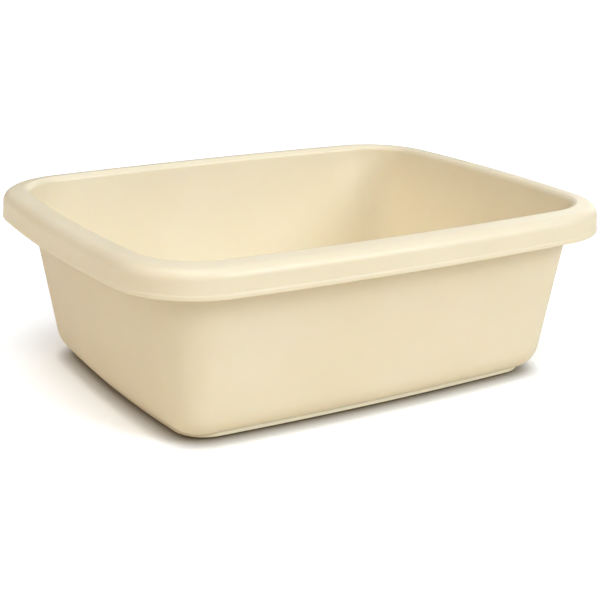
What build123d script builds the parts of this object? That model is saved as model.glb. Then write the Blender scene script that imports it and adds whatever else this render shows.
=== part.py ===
from build123d import *
import os
from math import cos, radians, tan

# Rectangular washing up bowl: one thin moulding in millimetres, +Z up.
# The origin is the middle of the footprint, the bowl is longest along X, and the foot stands on Z = 0.

# Overall size, measured over the lip of the rim
bowl_length = 390.0
bowl_width = 312.0
bowl_height = 132.0

# Plan: each side bows outward, and the corners are concentric from the lip down to the floor
side_bow = 8.0
end_bow = 10.5
floor_corner_radius = 2.5

# Sheet
wall = 2.0
wall_draft = 9.6

# Rim: a near upright skirt, a rounded shoulder, a top that rises inward, and the crown
rim_overhang = 21.0
rim_drop = 20.5
skirt_lean = 0.75
lip_step = 0.4
lip_height = 2.6
lip_step_height = 1.2
lip_bend_radius = 0.6
lip_edge_radius = 0.8
top_slope = 7.0
shoulder_radius = 8.0
crown_radius = 5.0

# Floor, and the bend at the foot of the wall
base_height = 3.0
floor_bend_radius = 19.0
floor_strip = 1.0

# Step that ends the bend, with a face that leans in as it rises, and the foot ring behind it.
# Both have rounder corners in plan than the sheet above them.
step_setback = 7.8
step_height = 2.0
step_lean = 25.0
step_top_share = 0.9
step_corner_radius = 24.0
foot_width = 3.0
foot_edge_radius = 0.6

# Mark that the injection point leaves in the middle of the underside
gate_radius = 6.0
gate_depth = 0.7
gate_nub_radius = 1.3
gate_nub_height = 0.4

# Stiffening webs hidden between the wall and the skirt, near both ends of each side
web_thickness = 1.6
web_lift = 7.0
web_shares = (0.08, 0.92)

# Length by which a cut passes the surface it starts from
overrun = 5.0


# Section of the sheet. Its X is the distance inward from the lip and its Y is the height.
# The show line is the side of the sheet that holds water, from the lip over the rim to the floor.
lip_z = bowl_height - rim_drop
floor_z = base_height + wall
draft_run = tan(radians(wall_draft))
top_rise = tan(radians(top_slope))


def wall_inset(z):
    """Distance of the wall's outer face from the lip at height z."""
    return rim_overhang + (lip_z - z) * draft_run


def show_inset(z):
    """Distance of the wall's inner face from the lip at height z."""
    return wall_inset(z) + wall / cos(radians(wall_draft))


crown_z = bowl_height - crown_radius
crown_inset = show_inset(crown_z) - crown_radius / cos(radians(wall_draft))
top_z_at_lip = crown_z + crown_radius / cos(radians(top_slope)) - crown_inset * top_rise
shoulder_inset = lip_step + skirt_lean
shoulder_z = top_z_at_lip + shoulder_inset * top_rise
edge_inset = (show_inset(0) - top_z_at_lip * draft_run) / (1 + draft_run * top_rise)
edge_z = top_z_at_lip + edge_inset * top_rise
bend_inset = show_inset(floor_z) + floor_bend_radius * tan(radians(90 - wall_draft) / 2)
floor_inset = bend_inset + floor_strip

show_points = [
    (0, lip_z),
    (0, lip_z + lip_height),
    (lip_step, lip_z + lip_height + lip_step_height),
    (shoulder_inset, shoulder_z),
    (edge_inset, edge_z),
    (show_inset(floor_z), floor_z),
    (floor_inset, floor_z),
]
show_radii = [lip_bend_radius, lip_bend_radius, shoulder_radius, crown_radius, floor_bend_radius]

with BuildSketch() as show_side:
    with BuildLine():
        show_line = FilletPolyline(*show_points, radius=show_radii)
        Polyline(
            show_line @ 1,
            (floor_inset, bowl_height + overrun),
            (-overrun, bowl_height + overrun),
            (-overrun, lip_z),
            show_line @ 0,
        )
    make_face()

middle_of_sheet = offset(show_side.sketch, amount=wall / 2, mode=Mode.PRIVATE)


def block_under_sheet(x, y, width, height):
    """Rectangle in the section, cut back to the middle of the sheet's thickness."""
    with BuildSketch() as block:
        with Locations((x, y)):
            Rectangle(width, height, align=(Align.MIN, Align.MIN))
        add(middle_of_sheet, mode=Mode.SUBTRACT)
    return block.sketch


with BuildSketch() as section:
    with BuildLine():
        add(show_line)
        offset(amount=wall, side=Side.RIGHT)
    make_face()
    fillet(section.vertices().filter_by_position(Axis.Y, lip_z, lip_z), lip_edge_radius)


# Outline of the lip in plan. The sharp corners of the bowed rectangle are rounded,
# so that every line of the section runs round the bowl at a constant distance from it.
half_length = bowl_length / 2
half_width = bowl_width / 2
corner_x = half_length - end_bow
corner_y = half_width - side_bow
lip_corner_radius = floor_corner_radius + floor_inset

with BuildSketch() as bowed_rectangle:
    with BuildLine():
        ThreePointArc((corner_x, -corner_y), (half_length, 0), (corner_x, corner_y))
        ThreePointArc((corner_x, corner_y), (0, half_width), (-corner_x, corner_y))
        ThreePointArc((-corner_x, corner_y), (-half_length, 0), (-corner_x, -corner_y))
        ThreePointArc((-corner_x, -corner_y), (0, -half_width), (corner_x, -corner_y))
    make_face()

with BuildSketch() as outline:
    add(bowed_rectangle.sketch)
    fillet(outline.vertices(), lip_corner_radius)


def base_outline(inset, corner_radius):
    """Plan of a part of the base, at a distance in from the lip along the sides and ends."""
    with BuildSketch() as base:
        add(bowed_rectangle.sketch)
        offset(amount=-inset, kind=Kind.INTERSECTION)
        fillet(base.vertices(), corner_radius)
    return base.sketch


# The step's face runs up into the sheet's thickness, and the foot ring stands under the end of the bend
step_inset = wall_inset(0) + step_setback
step_rise = base_height + wall * step_top_share - step_height
foot_inset = bend_inset - foot_width
foot_corner_radius = step_corner_radius - (foot_inset - step_inset)
hollow_corner_radius = foot_corner_radius - foot_width


def section_plane(side, share):
    """Upright plane square to a side of the outline: X points inward and Y points up."""
    point = side @ share
    inward = (side.arc_center - point).normalized()
    return Plane(origin=point, x_dir=inward, z_dir=inward.cross(Vector(0, 0, 1)))


# A web fills the channel under the rim down to its own lower edge
web_z = lip_z + web_lift
web_width = wall_inset(web_z) - shoulder_inset
web_section = block_under_sheet(shoulder_inset + wall / 2, web_z, web_width, rim_drop - web_lift)

# The four arcs of the largest radius are the sides of the outline, and the rest are its corners
sides = outline.edges().sort_by(SortBy.RADIUS)[-4:]
web_planes = [section_plane(side, share) for side in sides for share in web_shares]

with BuildPart() as bowl:
    with BuildSketch(Plane.XY.offset(step_height)):
        add(base_outline(step_inset, step_corner_radius))
    extrude(amount=step_rise, taper=step_lean)
    fillet(bowl.faces().sort_by(Axis.Z)[0].edges(), foot_edge_radius)

    with BuildSketch():
        add(base_outline(foot_inset, foot_corner_radius))
    extrude(amount=base_height + wall / 2)
    with BuildSketch():
        add(base_outline(foot_inset + foot_width, hollow_corner_radius))
    extrude(amount=base_height, mode=Mode.SUBTRACT)
    fillet(bowl.edges().group_by(Axis.Z)[0], foot_edge_radius)

    path = outline.wire()
    with BuildSketch(section_plane(path.edges()[0], 0)):
        add(section.sketch)
    sweep(path=path)

    with BuildSketch(Plane.XY.offset(base_height)):
        add(outline.sketch)
        offset(amount=-floor_inset)
    extrude(amount=wall)

    with BuildSketch(*web_planes):
        add(web_section)
    extrude(amount=web_thickness / 2, both=True)

    with BuildSketch(Plane.XY.offset(base_height)):
        Circle(gate_radius)
    extrude(amount=gate_depth, mode=Mode.SUBTRACT)

    with BuildSketch(Plane.XY.offset(base_height + gate_depth)):
        Circle(gate_nub_radius)
    extrude(amount=-gate_nub_height)

bowl.part.label = "bowl"
os.makedirs("parts", exist_ok=True)
export_step(bowl.part, "parts/bowl.step")

size = bowl.part.bounding_box().size
print(f"bowl {size.X:.2f} x {size.Y:.2f} x {size.Z:.2f} mm, volume {bowl.part.volume:.0f} mm3")
print(f"corner radius at the lip {lip_corner_radius:.1f} mm, floor starts {floor_inset:.1f} mm in from the lip")
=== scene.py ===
import math

import bmesh
import bpy
from mathutils import Matrix, Vector


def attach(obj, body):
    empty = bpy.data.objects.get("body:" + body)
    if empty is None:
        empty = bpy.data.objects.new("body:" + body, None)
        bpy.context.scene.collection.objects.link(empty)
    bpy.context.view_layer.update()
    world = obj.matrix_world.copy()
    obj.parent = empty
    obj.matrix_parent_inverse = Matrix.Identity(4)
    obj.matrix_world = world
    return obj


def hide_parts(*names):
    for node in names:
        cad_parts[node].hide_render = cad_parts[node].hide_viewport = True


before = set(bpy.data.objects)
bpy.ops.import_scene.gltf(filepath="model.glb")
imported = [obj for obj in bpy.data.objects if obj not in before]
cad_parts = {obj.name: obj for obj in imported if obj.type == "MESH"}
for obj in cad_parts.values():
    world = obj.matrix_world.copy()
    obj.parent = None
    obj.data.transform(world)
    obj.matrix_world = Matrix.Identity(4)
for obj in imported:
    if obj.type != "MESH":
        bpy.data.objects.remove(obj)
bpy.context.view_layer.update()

# The bowl is one sheet of polypropylene, moulded in a single shot. Its section runs at a constant
# distance inside the lip all the way round, from the folded rim down the drafted wall to the floor,
# so the section is drawn first, by pushing and turning one vertex, and then spun round the bowl.
mm = 0.001
bowl_length = 390 * mm
bowl_width = 312 * mm
bowl_height = 132 * mm
side_bow = 8 * mm
end_bow = 10.5 * mm
floor_corner_radius = 2.5 * mm
wall = 2 * mm
wall_draft = math.radians(9.6)
rim_overhang = 21 * mm
rim_drop = 20.5 * mm
lip_height = 2.6 * mm
lip_step_height = 1.2 * mm
lip_step = 0.4 * mm
lip_bend_radius = 0.6 * mm
lip_edge_radius = 0.8 * mm
skirt_lean = 0.75 * mm
top_slope = math.radians(7)
shoulder_radius = 8 * mm
crown_radius = 5 * mm
floor_bend_radius = 19 * mm
floor_strip = 1 * mm
base_height = 3 * mm

lip_z = bowl_height - rim_drop
floor_z = base_height + wall
draft_run = math.tan(wall_draft)
top_rise = math.tan(top_slope)


def wall_inset(z):
    """Distance of the wall's outer face from the lip at height z."""
    return rim_overhang + (lip_z - z) * draft_run


def show_inset(z):
    """Distance of the wall's inner face from the lip at height z."""
    return wall_inset(z) + wall / math.cos(wall_draft)


crown_z = bowl_height - crown_radius
crown_inset = show_inset(crown_z) - crown_radius / math.cos(wall_draft)
top_z_at_lip = crown_z + crown_radius / math.cos(top_slope) - crown_inset * top_rise
shoulder_inset = lip_step + skirt_lean
shoulder_z = top_z_at_lip + shoulder_inset * top_rise
edge_inset = (show_inset(0) - top_z_at_lip * draft_run) / (1 + draft_run * top_rise)
edge_z = top_z_at_lip + edge_inset * top_rise
bend_inset = show_inset(floor_z) + floor_bend_radius * math.tan((math.pi / 2 - wall_draft) / 2)
floor_inset = bend_inset + floor_strip

# Sharp corners of the sheet's show side in the plane of the section, from the lip to the floor
lip_foot, lip_top, skirt_foot, shoulder, crown, wall_foot, floor_end = range(7)
show_side = [
    Vector((0, 0, lip_z)),
    Vector((0, 0, lip_z + lip_height)),
    Vector((lip_step, 0, lip_z + lip_height + lip_step_height)),
    Vector((shoulder_inset, 0, shoulder_z)),
    Vector((edge_inset, 0, edge_z)),
    Vector((show_inset(floor_z), 0, floor_z)),
    Vector((floor_inset, 0, floor_z)),
]


def beneath(corner, depth):
    """The corner's place at a depth below the show side, measured square to both of its lines."""
    arriving = (show_side[corner] - show_side[corner - 1]).normalized()
    leaving = (show_side[corner + 1] - show_side[corner]).normalized()
    first = Vector((arriving.z, 0, -arriving.x))
    second = Vector((leaving.z, 0, -leaving.x))
    return show_side[corner] + (first + second) * depth / (1 + first.dot(second))


def last_vertex(result):
    """The vertex at the end of what an operator drew."""
    return [v for v in result["geom_last"] if isinstance(v, bmesh.types.BMVert)][0]


def push(sketch, tip, point):
    """Draws straight on to a point."""
    new = bmesh.ops.extrude_vert_indiv(sketch, verts=[tip])["verts"][0]
    new.co = point
    return new


def turn(sketch, tip, corner, after, radius, steps):
    """Draws on to a rounded corner and round it, ready to run on towards the point after."""
    arriving = (corner - tip.co).normalized()
    leaving = (after - corner).normalized()
    axis = arriving.cross(leaving).normalized()
    angle = arriving.angle(leaving)
    tip = push(sketch, tip, corner - arriving * radius * math.tan(angle / 2))
    centre = tip.co + axis.cross(arriving) * radius
    return last_vertex(bmesh.ops.spin(sketch, geom=[tip], cent=centre, axis=axis, angle=angle, steps=steps))


def draw(sketch, tip, corners, end):
    """Draws on through corners, each given with its radius and steps, to a last point."""
    points = [corner[0] for corner in corners] + [end]
    for (corner, radius, steps), after in zip(corners, points[1:]):
        tip = turn(sketch, tip, corner, after, radius, steps)
    return push(sketch, tip, end)


# Facets round each bend of the section, fewest where the bend is small or hidden
broad_steps = 14
shoulder_back_steps = 10
crown_back_steps = 8
lip_edge_steps = 5
lip_bend_steps = 3

# The underside comes first: a strip of the base panel, then the outside of the bend
bowl_mesh = bmesh.new()
tip = bowl_mesh.verts.new((floor_inset, 0, base_height))
tip = push(bowl_mesh, tip, Vector((bend_inset, 0, base_height)))
bend_centre = Vector((bend_inset, 0, floor_z + floor_bend_radius))
bend_angle = math.pi / 2 - wall_draft
bend = bmesh.ops.spin(
    bowl_mesh,
    geom=[tip],
    cent=bend_centre,
    axis=(0, 1, 0),
    angle=bend_angle,
    steps=broad_steps,
)
tip = last_vertex(bend)

# Then the wall, the hidden inside of the rim, the lip, and the whole show side
sheet_corners = [
    (beneath(crown, wall), crown_radius - wall, crown_back_steps),
    (beneath(shoulder, wall), shoulder_radius - wall, shoulder_back_steps),
    (beneath(skirt_foot, wall), lip_bend_radius + wall, lip_bend_steps),
    (Vector((wall, 0, lip_z)), lip_edge_radius, lip_edge_steps),
    (show_side[lip_foot], lip_edge_radius, lip_edge_steps),
    (show_side[lip_top], lip_bend_radius, lip_bend_steps),
    (show_side[skirt_foot], lip_bend_radius, lip_bend_steps),
    (show_side[shoulder], shoulder_radius, broad_steps),
    (show_side[crown], crown_radius, broad_steps),
    (show_side[wall_foot], floor_bend_radius, broad_steps),
]
draw(bowl_mesh, tip, sheet_corners, show_side[floor_end])

# Plan of the lip: long arcs for the sides and ends, and corners that touch both
half_length = bowl_length / 2
half_width = bowl_width / 2
side_radius = ((half_length - end_bow) ** 2 + side_bow ** 2) / (2 * side_bow)
end_radius = ((half_width - side_bow) ** 2 + end_bow ** 2) / (2 * end_bow)
side_centre = Vector((0, half_width - side_radius, 0))
end_centre = Vector((half_length - end_radius, 0, 0))

# Facets along half an end, round a corner and along half a side
end_steps = 14
corner_steps = 24
side_steps = 18

# Distances within which vertices are the same: at the mirror planes, and anywhere in a mesh
mirror_reach = 0.01 * mm
same_place = 0.001 * mm


def quarter_turns(inset, corner_radius):
    """Centre, angle and steps of the three turns from the middle of an end to the middle of a side."""
    apart = (side_centre - end_centre).length
    from_side = side_radius - inset - corner_radius
    from_end = end_radius - inset - corner_radius
    along = (apart ** 2 + from_side ** 2 - from_end ** 2) / (2 * apart)
    across = math.sqrt(from_side ** 2 - along ** 2)
    towards_end = (end_centre - side_centre).normalized()
    corner_centre = side_centre + towards_end * along + towards_end.cross(Vector((0, 0, 1))) * across
    side_angle = math.atan2(corner_centre.x, corner_centre.y - side_centre.y)
    end_angle = math.atan2(corner_centre.y, corner_centre.x - end_centre.x)
    corner_angle = math.pi / 2 - side_angle - end_angle
    return (
        (end_centre, end_angle, end_steps),
        (corner_centre, corner_angle, corner_steps),
        (side_centre, side_angle, side_steps),
    )


def spin_round(mesh, turns):
    """Spins a section round a quarter of the bowl and mirrors the quarter twice."""
    to_the_end = Matrix.Translation((half_length, 0, 0)) @ Matrix.Scale(-1, 4, (1, 0, 0))
    bmesh.ops.transform(mesh, matrix=to_the_end, verts=mesh.verts)
    front = mesh.verts[:] + mesh.edges[:]
    for centre, angle, steps in turns:
        spun = bmesh.ops.spin(mesh, geom=front, cent=centre, axis=(0, 0, 1), angle=angle, steps=steps)
        front = spun["geom_last"]
    for axis in ("X", "Y"):
        everything = mesh.verts[:] + mesh.edges[:] + mesh.faces[:]
        bmesh.ops.mirror(mesh, geom=everything, matrix=Matrix(), merge_dist=mirror_reach, axis=axis)
    bmesh.ops.remove_doubles(mesh, verts=mesh.verts, dist=same_place)


lip_turns = quarter_turns(0, floor_corner_radius + floor_inset)
spin_round(bowl_mesh, lip_turns)

# The floor panel closes the inside, and the underside runs in to the mark of the injection point,
# a shallow round dimple with the nub where the sprue broke off
gate_radius = 6 * mm
gate_depth = 0.7 * mm
gate_nub_radius = 1.3 * mm
gate_nub_height = 0.4 * mm
gate_steps = 56

dimple_z = base_height + gate_depth
nub_z = dimple_z - gate_nub_height


def open_loop(z):
    """The open edges of the mesh at height z."""
    open_edges = [e for e in bowl_mesh.edges if len(e.link_faces) == 1]
    return [e for e in open_edges if abs(e.verts[0].co.z - z) < mirror_reach]


bmesh.ops.edgeloop_fill(bowl_mesh, edges=open_loop(floor_z))
panel_edge = open_loop(base_height)
tip = bowl_mesh.verts.new((gate_radius, 0, base_height))
gate_section = [tip]
for point in (
    Vector((gate_radius, 0, dimple_z)),
    Vector((gate_nub_radius, 0, dimple_z)),
    Vector((gate_nub_radius, 0, nub_z)),
    Vector((0, 0, nub_z)),
):
    tip = push(bowl_mesh, tip, point)
    gate_section.append(tip)
gate_edges = [e for v in gate_section for e in v.link_edges]
bmesh.ops.spin(
    bowl_mesh,
    geom=gate_section + list(set(gate_edges)),
    cent=(0, 0, 0),
    axis=(0, 0, 1),
    angle=2 * math.pi,
    steps=gate_steps,
    use_merge=True,
)
bmesh.ops.remove_doubles(bowl_mesh, verts=bowl_mesh.verts, dist=same_place)
gate_edge = [e for e in open_loop(base_height) if e not in panel_edge]
bmesh.ops.bridge_loops(bowl_mesh, edges=panel_edge + gate_edge)
bmesh.ops.recalc_face_normals(bowl_mesh, faces=bowl_mesh.faces)

# The base ends the bend with a small step whose face leans in as it rises, and the bowl stands on
# a ring set in behind it. Both are moulded with the floor, with rounder corners than the sheet.
step_setback = 7.8 * mm
step_height = 2 * mm
step_lean = math.radians(25)
step_corner_radius = 24 * mm
foot_width = 3 * mm
foot_edge_radius = 0.6 * mm
foot_edge_steps = 4
buried_share = 0.9

step_inset = wall_inset(0) + step_setback
foot_inset = bend_inset - foot_width
buried_z = base_height + buried_share * wall
base_mesh = bmesh.new()
first = base_mesh.verts.new((bend_inset, 0, buried_z))
base_corners = [
    (Vector((bend_inset, 0, 0)), foot_edge_radius, foot_edge_steps),
    (Vector((foot_inset, 0, 0)), foot_edge_radius, foot_edge_steps),
]
tip = draw(base_mesh, first, base_corners, Vector((foot_inset, 0, step_height)))
step_corners = [(Vector((step_inset, 0, step_height)), foot_edge_radius, foot_edge_steps)]
step_face_top = Vector((step_inset + (buried_z - step_height) * math.tan(step_lean), 0, buried_z))
tip = draw(base_mesh, tip, step_corners, step_face_top)
bmesh.ops.contextual_create(base_mesh, geom=[tip, first])
spin_round(base_mesh, quarter_turns(step_inset, step_corner_radius))
bmesh.ops.recalc_face_normals(base_mesh, faces=base_mesh.faces)
base_data = bpy.data.meshes.new("base")
base_mesh.to_mesh(base_data)
bowl_mesh.from_mesh(base_data)

# Eight thin webs stand in the channel under the rim, moulded with it. Each is a plate square to
# the side, sunk to the middle of the sheet, and its lower edge stays hidden above the lip.
web_thickness = 1.6 * mm
web_lift = 7 * mm
web_edge_radius = 0.3 * mm
web_edge_segments = 2
web_bend_steps = 6

# How far out along half a side or half an end each web stands
web_share = 0.84

web_z = lip_z + web_lift
web_mesh = bmesh.new()
tip = web_mesh.verts.new((shoulder_inset + wall / 2, 0, web_z))
web_corners = [
    (beneath(shoulder, wall / 2), shoulder_radius - wall / 2, web_bend_steps),
    (beneath(crown, wall / 2), crown_radius - wall / 2, web_bend_steps),
]
draw(web_mesh, tip, web_corners, Vector((show_inset(web_z) - wall / 2, 0, web_z)))
web_face = bmesh.ops.contextual_create(web_mesh, geom=web_mesh.verts[:])["faces"]
thick = bmesh.ops.extrude_face_region(web_mesh, geom=web_face)["geom"]
far_side = [v for v in thick if isinstance(v, bmesh.types.BMVert)]
bmesh.ops.translate(web_mesh, vec=(0, web_thickness, 0), verts=far_side)
bmesh.ops.translate(web_mesh, vec=(0, -web_thickness / 2, 0), verts=web_mesh.verts)
bmesh.ops.recalc_face_normals(web_mesh, faces=web_mesh.faces)
low_edges = [e for e in web_mesh.edges if max(v.co.z for v in e.verts) < web_z + same_place]
low_edges = [e for e in low_edges if abs(e.verts[0].co.x - e.verts[1].co.x) > web_thickness]
bmesh.ops.bevel(
    web_mesh,
    geom=low_edges,
    offset=web_edge_radius,
    segments=web_edge_segments,
    profile=0.5,
    affect="EDGES",
    material=-1,
)
web_data = bpy.data.meshes.new("web")
web_mesh.to_mesh(web_data)


def place_on_side(centre, radius, angle):
    """Puts the section's frame on a side of the lip, facing inward, at an angle about the side's centre."""
    outward = Vector((math.cos(angle), math.sin(angle), 0))
    return Matrix.Translation(centre + outward * radius) @ Matrix.Rotation(angle + math.pi, 4, "Z")


(_, end_angle, _), _, (_, side_angle, _) = lip_turns
for sign in (-1, 1):
    for turned in (0, math.pi):
        half_turn = Matrix.Rotation(turned, 4, "Z")
        for centre, radius, angle in (
            (side_centre, side_radius, math.pi / 2 + sign * web_share * side_angle),
            (end_centre, end_radius, sign * web_share * end_angle),
        ):
            standing = half_turn @ place_on_side(centre, radius, angle)
            web_data.transform(standing)
            bowl_mesh.from_mesh(web_data)
            web_data.transform(standing.inverted())

sharpest_smooth_edge = math.radians(35)
for face in bowl_mesh.faces:
    face.smooth = True
bowl_data = bpy.data.meshes.new("washing_up_bowl")
bowl_mesh.to_mesh(bowl_data)
bowl_data.set_sharp_from_angle(angle=sharpest_smooth_edge)
bowl = bpy.data.objects.new("washing_up_bowl", bowl_data)
bpy.context.collection.objects.link(bowl)
weighted = bowl.modifiers.new("even_shading", "WEIGHTED_NORMAL")
weighted.keep_sharp = True

# Cream polypropylene, coloured through: satin off the mould, a little light passing into the sheet,
# very faint clouding of the pigment, a fine grain over slow ripples, and a foot rubbed dull by the table.
cream_pale = (0.89, 0.808, 0.635, 1)
cream_deep = (0.86, 0.772, 0.585, 1)
cloud_patches_per_metre = 14
gloss_patches_per_metre = 90
roughness_low = 0.34
roughness_high = 0.42
rubbed_height = 0.8 * mm
rubbed_dullness = 0.25
glow_depth = 3 * mm
grain_per_metre = 1400
grain_depth = 0.02 * mm
ripples_per_metre = 45
ripple_depth = 0.12 * mm

plastic = bpy.data.materials.new("cream_polypropylene")
plastic.use_nodes = True
plastic_nodes = plastic.node_tree.nodes
plastic_links = plastic.node_tree.links
surface = plastic_nodes["Principled BSDF"]
surface.inputs["IOR"].default_value = 1.49
surface.inputs["Subsurface Weight"].default_value = 0.35
surface.inputs["Subsurface Radius"].default_value = (1.0, 0.7, 0.35)
surface.inputs["Subsurface Scale"].default_value = glow_depth
place = plastic_nodes.new("ShaderNodeTexCoord")


def mottle(patches_per_metre, detail):
    """Noise all through the plastic."""
    noise = plastic_nodes.new("ShaderNodeTexNoise")
    noise.inputs["Scale"].default_value = patches_per_metre
    noise.inputs["Detail"].default_value = detail
    plastic_links.new(place.outputs["Object"], noise.inputs["Vector"])
    return noise.outputs["Fac"]


def remap(value, low, high, to_low, to_high):
    """The value carried from one range to another."""
    change = plastic_nodes.new("ShaderNodeMapRange")
    change.inputs["From Min"].default_value = low
    change.inputs["From Max"].default_value = high
    change.inputs["To Min"].default_value = to_low
    change.inputs["To Max"].default_value = to_high
    plastic_links.new(value, change.inputs["Value"])
    return change.outputs["Result"]


def spread_of(noise, to_low, to_high):
    """The middle of a noise, where nearly all of it lies, carried to a range."""
    return remap(noise, 0.3, 0.7, to_low, to_high)


def bump(depth, height, below=None):
    """A relief of the surface, laid over another one if there is one below."""
    relief = plastic_nodes.new("ShaderNodeBump")
    relief.inputs["Distance"].default_value = depth
    relief.inputs["Strength"].default_value = 0.5
    plastic_links.new(height, relief.inputs["Height"])
    if below:
        plastic_links.new(below, relief.inputs["Normal"])
    return relief.outputs["Normal"]


clouding = plastic_nodes.new("ShaderNodeMix")
clouding.data_type = "RGBA"
clouding.inputs["A"].default_value = cream_deep
clouding.inputs["B"].default_value = cream_pale
plastic_links.new(spread_of(mottle(cloud_patches_per_metre, 3), 0, 1), clouding.inputs["Factor"])
plastic_links.new(clouding.outputs["Result"], surface.inputs["Base Color"])

height = plastic_nodes.new("ShaderNodeSeparateXYZ")
plastic_links.new(place.outputs["Object"], height.inputs["Vector"])
rubbed = remap(height.outputs["Z"], 0, rubbed_height, rubbed_dullness, 0)
satin = spread_of(mottle(gloss_patches_per_metre, 4), roughness_low, roughness_high)
worn = plastic_nodes.new("ShaderNodeMath")
worn.operation = "ADD"
plastic_links.new(satin, worn.inputs[0])
plastic_links.new(rubbed, worn.inputs[1])
plastic_links.new(worn.outputs["Value"], surface.inputs["Roughness"])

ripples = bump(ripple_depth, mottle(ripples_per_metre, 1))
grain = bump(grain_depth, mottle(grain_per_metre, 2), below=ripples)
plastic_links.new(grain, surface.inputs["Normal"])

bowl_data.materials.append(plastic)
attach(bowl, "root")
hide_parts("bowl")

# White studio table: a wide sheet of paper that keeps the bowl's soft shadow. The camera sees the
# paper past white, brighter than the bowl does, and where the bowl almost touches it a dark, warm
# painted shade is mixed into what the camera sees. The bowl gets the paper's own warm white.
paper_half = 6.0
paper_bounce = (0.92, 0.86, 0.76, 1)
paper_seen = (1.35, 1.40, 1.48, 1)
# Colour and reach of the painted shade mixed into the paper where the bowl's edge comes close over it
painted_contact_shade = (0.14, 0.09, 0.02, 1)
painted_shade_reach = 14 * mm

paper_mesh = bmesh.new()
bmesh.ops.create_grid(paper_mesh, x_segments=2, y_segments=2, size=paper_half)
paper_data = bpy.data.meshes.new("paper")
paper_mesh.to_mesh(paper_data)
paper = bpy.data.objects.new("paper", paper_data)
bpy.context.collection.objects.link(paper)

paper_finish = bpy.data.materials.new("white_paper")
paper_finish.use_nodes = True
paper_nodes = paper_finish.node_tree.nodes
paper_links = paper_finish.node_tree.links
paper_nodes.remove(paper_nodes["Principled BSDF"])
# Painted shade: ambient occlusion mixes the dark warm colour into the camera's view of the paper near the
# bowl
painted_shade_occlusion = paper_nodes.new("ShaderNodeAmbientOcclusion")
painted_shade_occlusion.samples = 6
painted_shade_occlusion.inputs["Distance"].default_value = painted_shade_reach
painted_shade_mix = paper_nodes.new("ShaderNodeMix")
painted_shade_mix.data_type = "RGBA"
painted_shade_mix.inputs["A"].default_value = painted_contact_shade
painted_shade_mix.inputs["B"].default_value = paper_seen
paper_links.new(painted_shade_occlusion.outputs["AO"], painted_shade_mix.inputs["Factor"])
paper_ray = paper_nodes.new("ShaderNodeLightPath")
tone = paper_nodes.new("ShaderNodeMix")
tone.data_type = "RGBA"
tone.inputs["A"].default_value = paper_bounce
paper_links.new(painted_shade_mix.outputs["Result"], tone.inputs["B"])
paper_links.new(paper_ray.outputs["Is Camera Ray"], tone.inputs["Factor"])
matt = paper_nodes.new("ShaderNodeBsdfDiffuse")
paper_links.new(tone.outputs["Result"], matt.inputs["Color"])
paper_links.new(matt.outputs["BSDF"], paper_nodes["Material Output"].inputs["Surface"])
paper_data.materials.append(paper_finish)

# White backdrop: full white to the camera, faint where the plastic mirrors it, as most of the room
# about a studio table is dark, and no light of its own
mirrored_share = 0.05

room = bpy.data.worlds.new("studio")
bpy.context.scene.world = room
room.use_nodes = True
room_nodes = room.node_tree.nodes
room_links = room.node_tree.links
room_ray = room_nodes.new("ShaderNodeLightPath")
mirrored = room_nodes.new("ShaderNodeMath")
mirrored.operation = "MULTIPLY"
mirrored.inputs[1].default_value = mirrored_share
room_links.new(room_ray.outputs["Is Glossy Ray"], mirrored.inputs[0])
direct = room_nodes.new("ShaderNodeMath")
direct.operation = "MAXIMUM"
room_links.new(room_ray.outputs["Is Camera Ray"], direct.inputs[0])
room_links.new(room_ray.outputs["Is Transmission Ray"], direct.inputs[1])
either = room_nodes.new("ShaderNodeMath")
either.operation = "MAXIMUM"
room_links.new(direct.outputs["Value"], either.inputs[0])
room_links.new(mirrored.outputs["Value"], either.inputs[1])
backdrop = room_nodes["Background"]
backdrop.inputs["Color"].default_value = (1, 1, 1, 1)
room_links.new(either.outputs["Value"], backdrop.inputs["Strength"])


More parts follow.
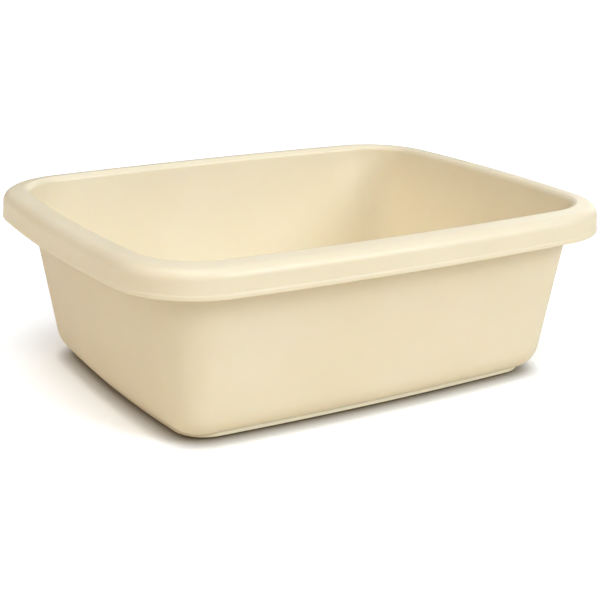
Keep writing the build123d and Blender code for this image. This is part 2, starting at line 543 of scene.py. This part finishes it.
def soft_lamp(name, bearing, height, strength, tint=(1, 1, 1), spread=35):
    """A wide, distant lamp, with its bearing, its height above the table and its width in degrees."""
    lamp = bpy.data.lights.new(name, "SUN")
    lamp.color = tint
    lamp.angle = math.radians(spread)
    lamp.energy = strength
    lamp_object = bpy.data.objects.new(name, lamp)
    bpy.context.collection.objects.link(lamp_object)
    level = Vector((math.cos(math.radians(bearing)), math.sin(math.radians(bearing)), 0))
    towards = level * math.cos(math.radians(height)) + Vector((0, 0, math.sin(math.radians(height))))
    lamp_object.matrix_world = towards.to_track_quat("Z", "Y").to_matrix().to_4x4()


# The key stands low in front and to the right. The other panels fill in from above and all round.
soft_lamp("key_softbox", bearing=-60, height=29, strength=1.42, tint=(0.96, 1.01, 1.03), spread=28)
soft_lamp("overhead_left_panel", bearing=180, height=76, strength=0.76)
soft_lamp("overhead_front_panel", bearing=-90, height=70, strength=0.60, tint=(0.98, 1.0, 1.02))
soft_lamp("front_left_panel", bearing=-127, height=42, strength=0.64)
soft_lamp("right_panel", bearing=30, height=17, strength=0.47, tint=(1.02, 1.02, 0.96))
soft_lamp("left_panel", bearing=180, height=25, strength=0.37, tint=(1.19, 1.0, 0.8))
soft_lamp("back_right_panel", bearing=60, height=35, strength=0.20, tint=(1.05, 1.0, 0.92))
soft_lamp("back_left_panel", bearing=150, height=55, strength=0.17, tint=(1.15, 1.0, 0.85))
soft_lamp("upper_right_panel", bearing=0, height=55, strength=0.12)

# Camera where the photograph was taken from: a metre off in front, a little to the left, and looking
# slightly down. Its bearing, tilt and roll are in radians, and its lens and film in millimetres.
camera_bearing = 0.5501
camera_tilt = 0.3049
camera_roll = 0.0139
camera_distance = 995.64 * mm
camera_aim = Vector((-0.82, -6.98, 50.75)) * mm
camera_film = 36
camera_lens = 79.445

camera_data = bpy.data.cameras.new("camera")
camera_data.sensor_width = camera_film
camera_data.lens = camera_lens
camera = bpy.data.objects.new("camera", camera_data)
bpy.context.collection.objects.link(camera)
looking = (
    Matrix.Rotation(-camera_bearing, 4, "Z")
    @ Matrix.Rotation(math.pi / 2 - camera_tilt, 4, "X")
    @ Matrix.Rotation(camera_roll, 4, "Z")
)
camera.matrix_world = Matrix.Translation(camera_aim) @ looking @ Matrix.Translation((0, 0, camera_distance))
bpy.context.scene.camera = camera
bpy.context.scene.view_settings.view_transform = "Standard"
